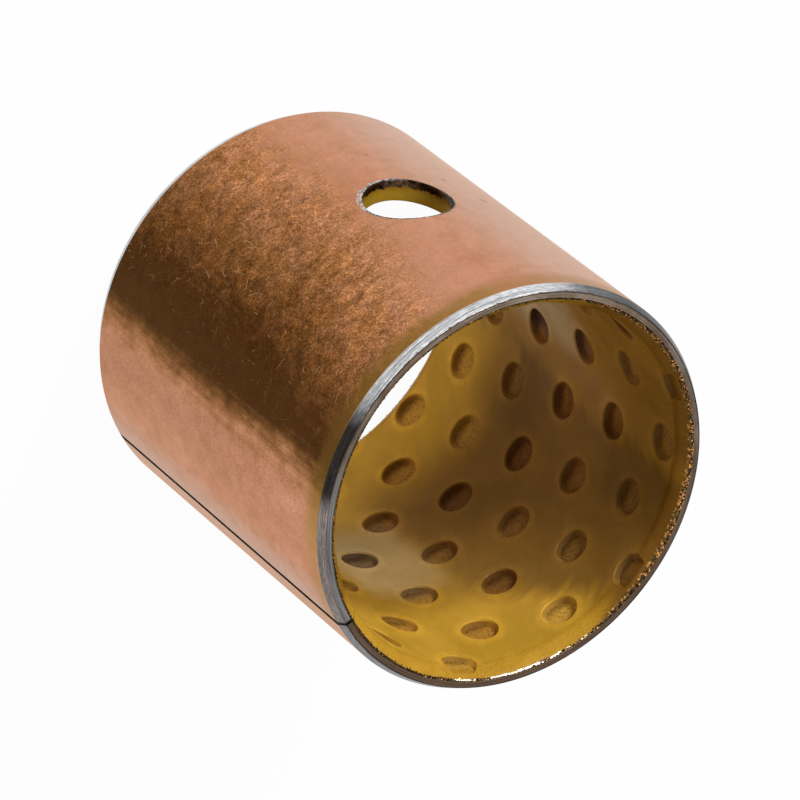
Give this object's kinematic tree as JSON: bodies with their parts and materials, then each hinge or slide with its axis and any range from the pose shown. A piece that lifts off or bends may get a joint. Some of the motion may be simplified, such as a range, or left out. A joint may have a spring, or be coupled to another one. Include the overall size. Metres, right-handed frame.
{
  "type": "plain bushing",
  "caption": "Split plain bush with a copper-flashed steel back, a sintered bronze layer, a yellow plastic lining with lubricant indents, and an oil hole.",
  "frame": {"origin": "centre of the lower end face, on the bore's axis, which is the surface that the bush stands on", "axes": "+Z along the bore's axis, upwards; +X through the centre of the oil hole; the butt joint lies 120 degrees round from +X towards +Y"},
  "size_m": [0.028, 0.028, 0.03],
  "materials": {
    "copper_flashed_steel": "satin copper flash outside, bare machined steel on the bevels, end faces, joint and oil hole",
    "sintered_bronze": "granular, fine dark pores between bright grains",
    "yellow_acetal": "semi-gloss, with matt brown grain in the floors of the indents"
  },
  "bodies": {
    "root": {"steel_backing": "copper_flashed_steel", "bronze_interlayer": "sintered_bronze", "polymer_liner": "yellow_acetal"}
  },
  "joints": []
}
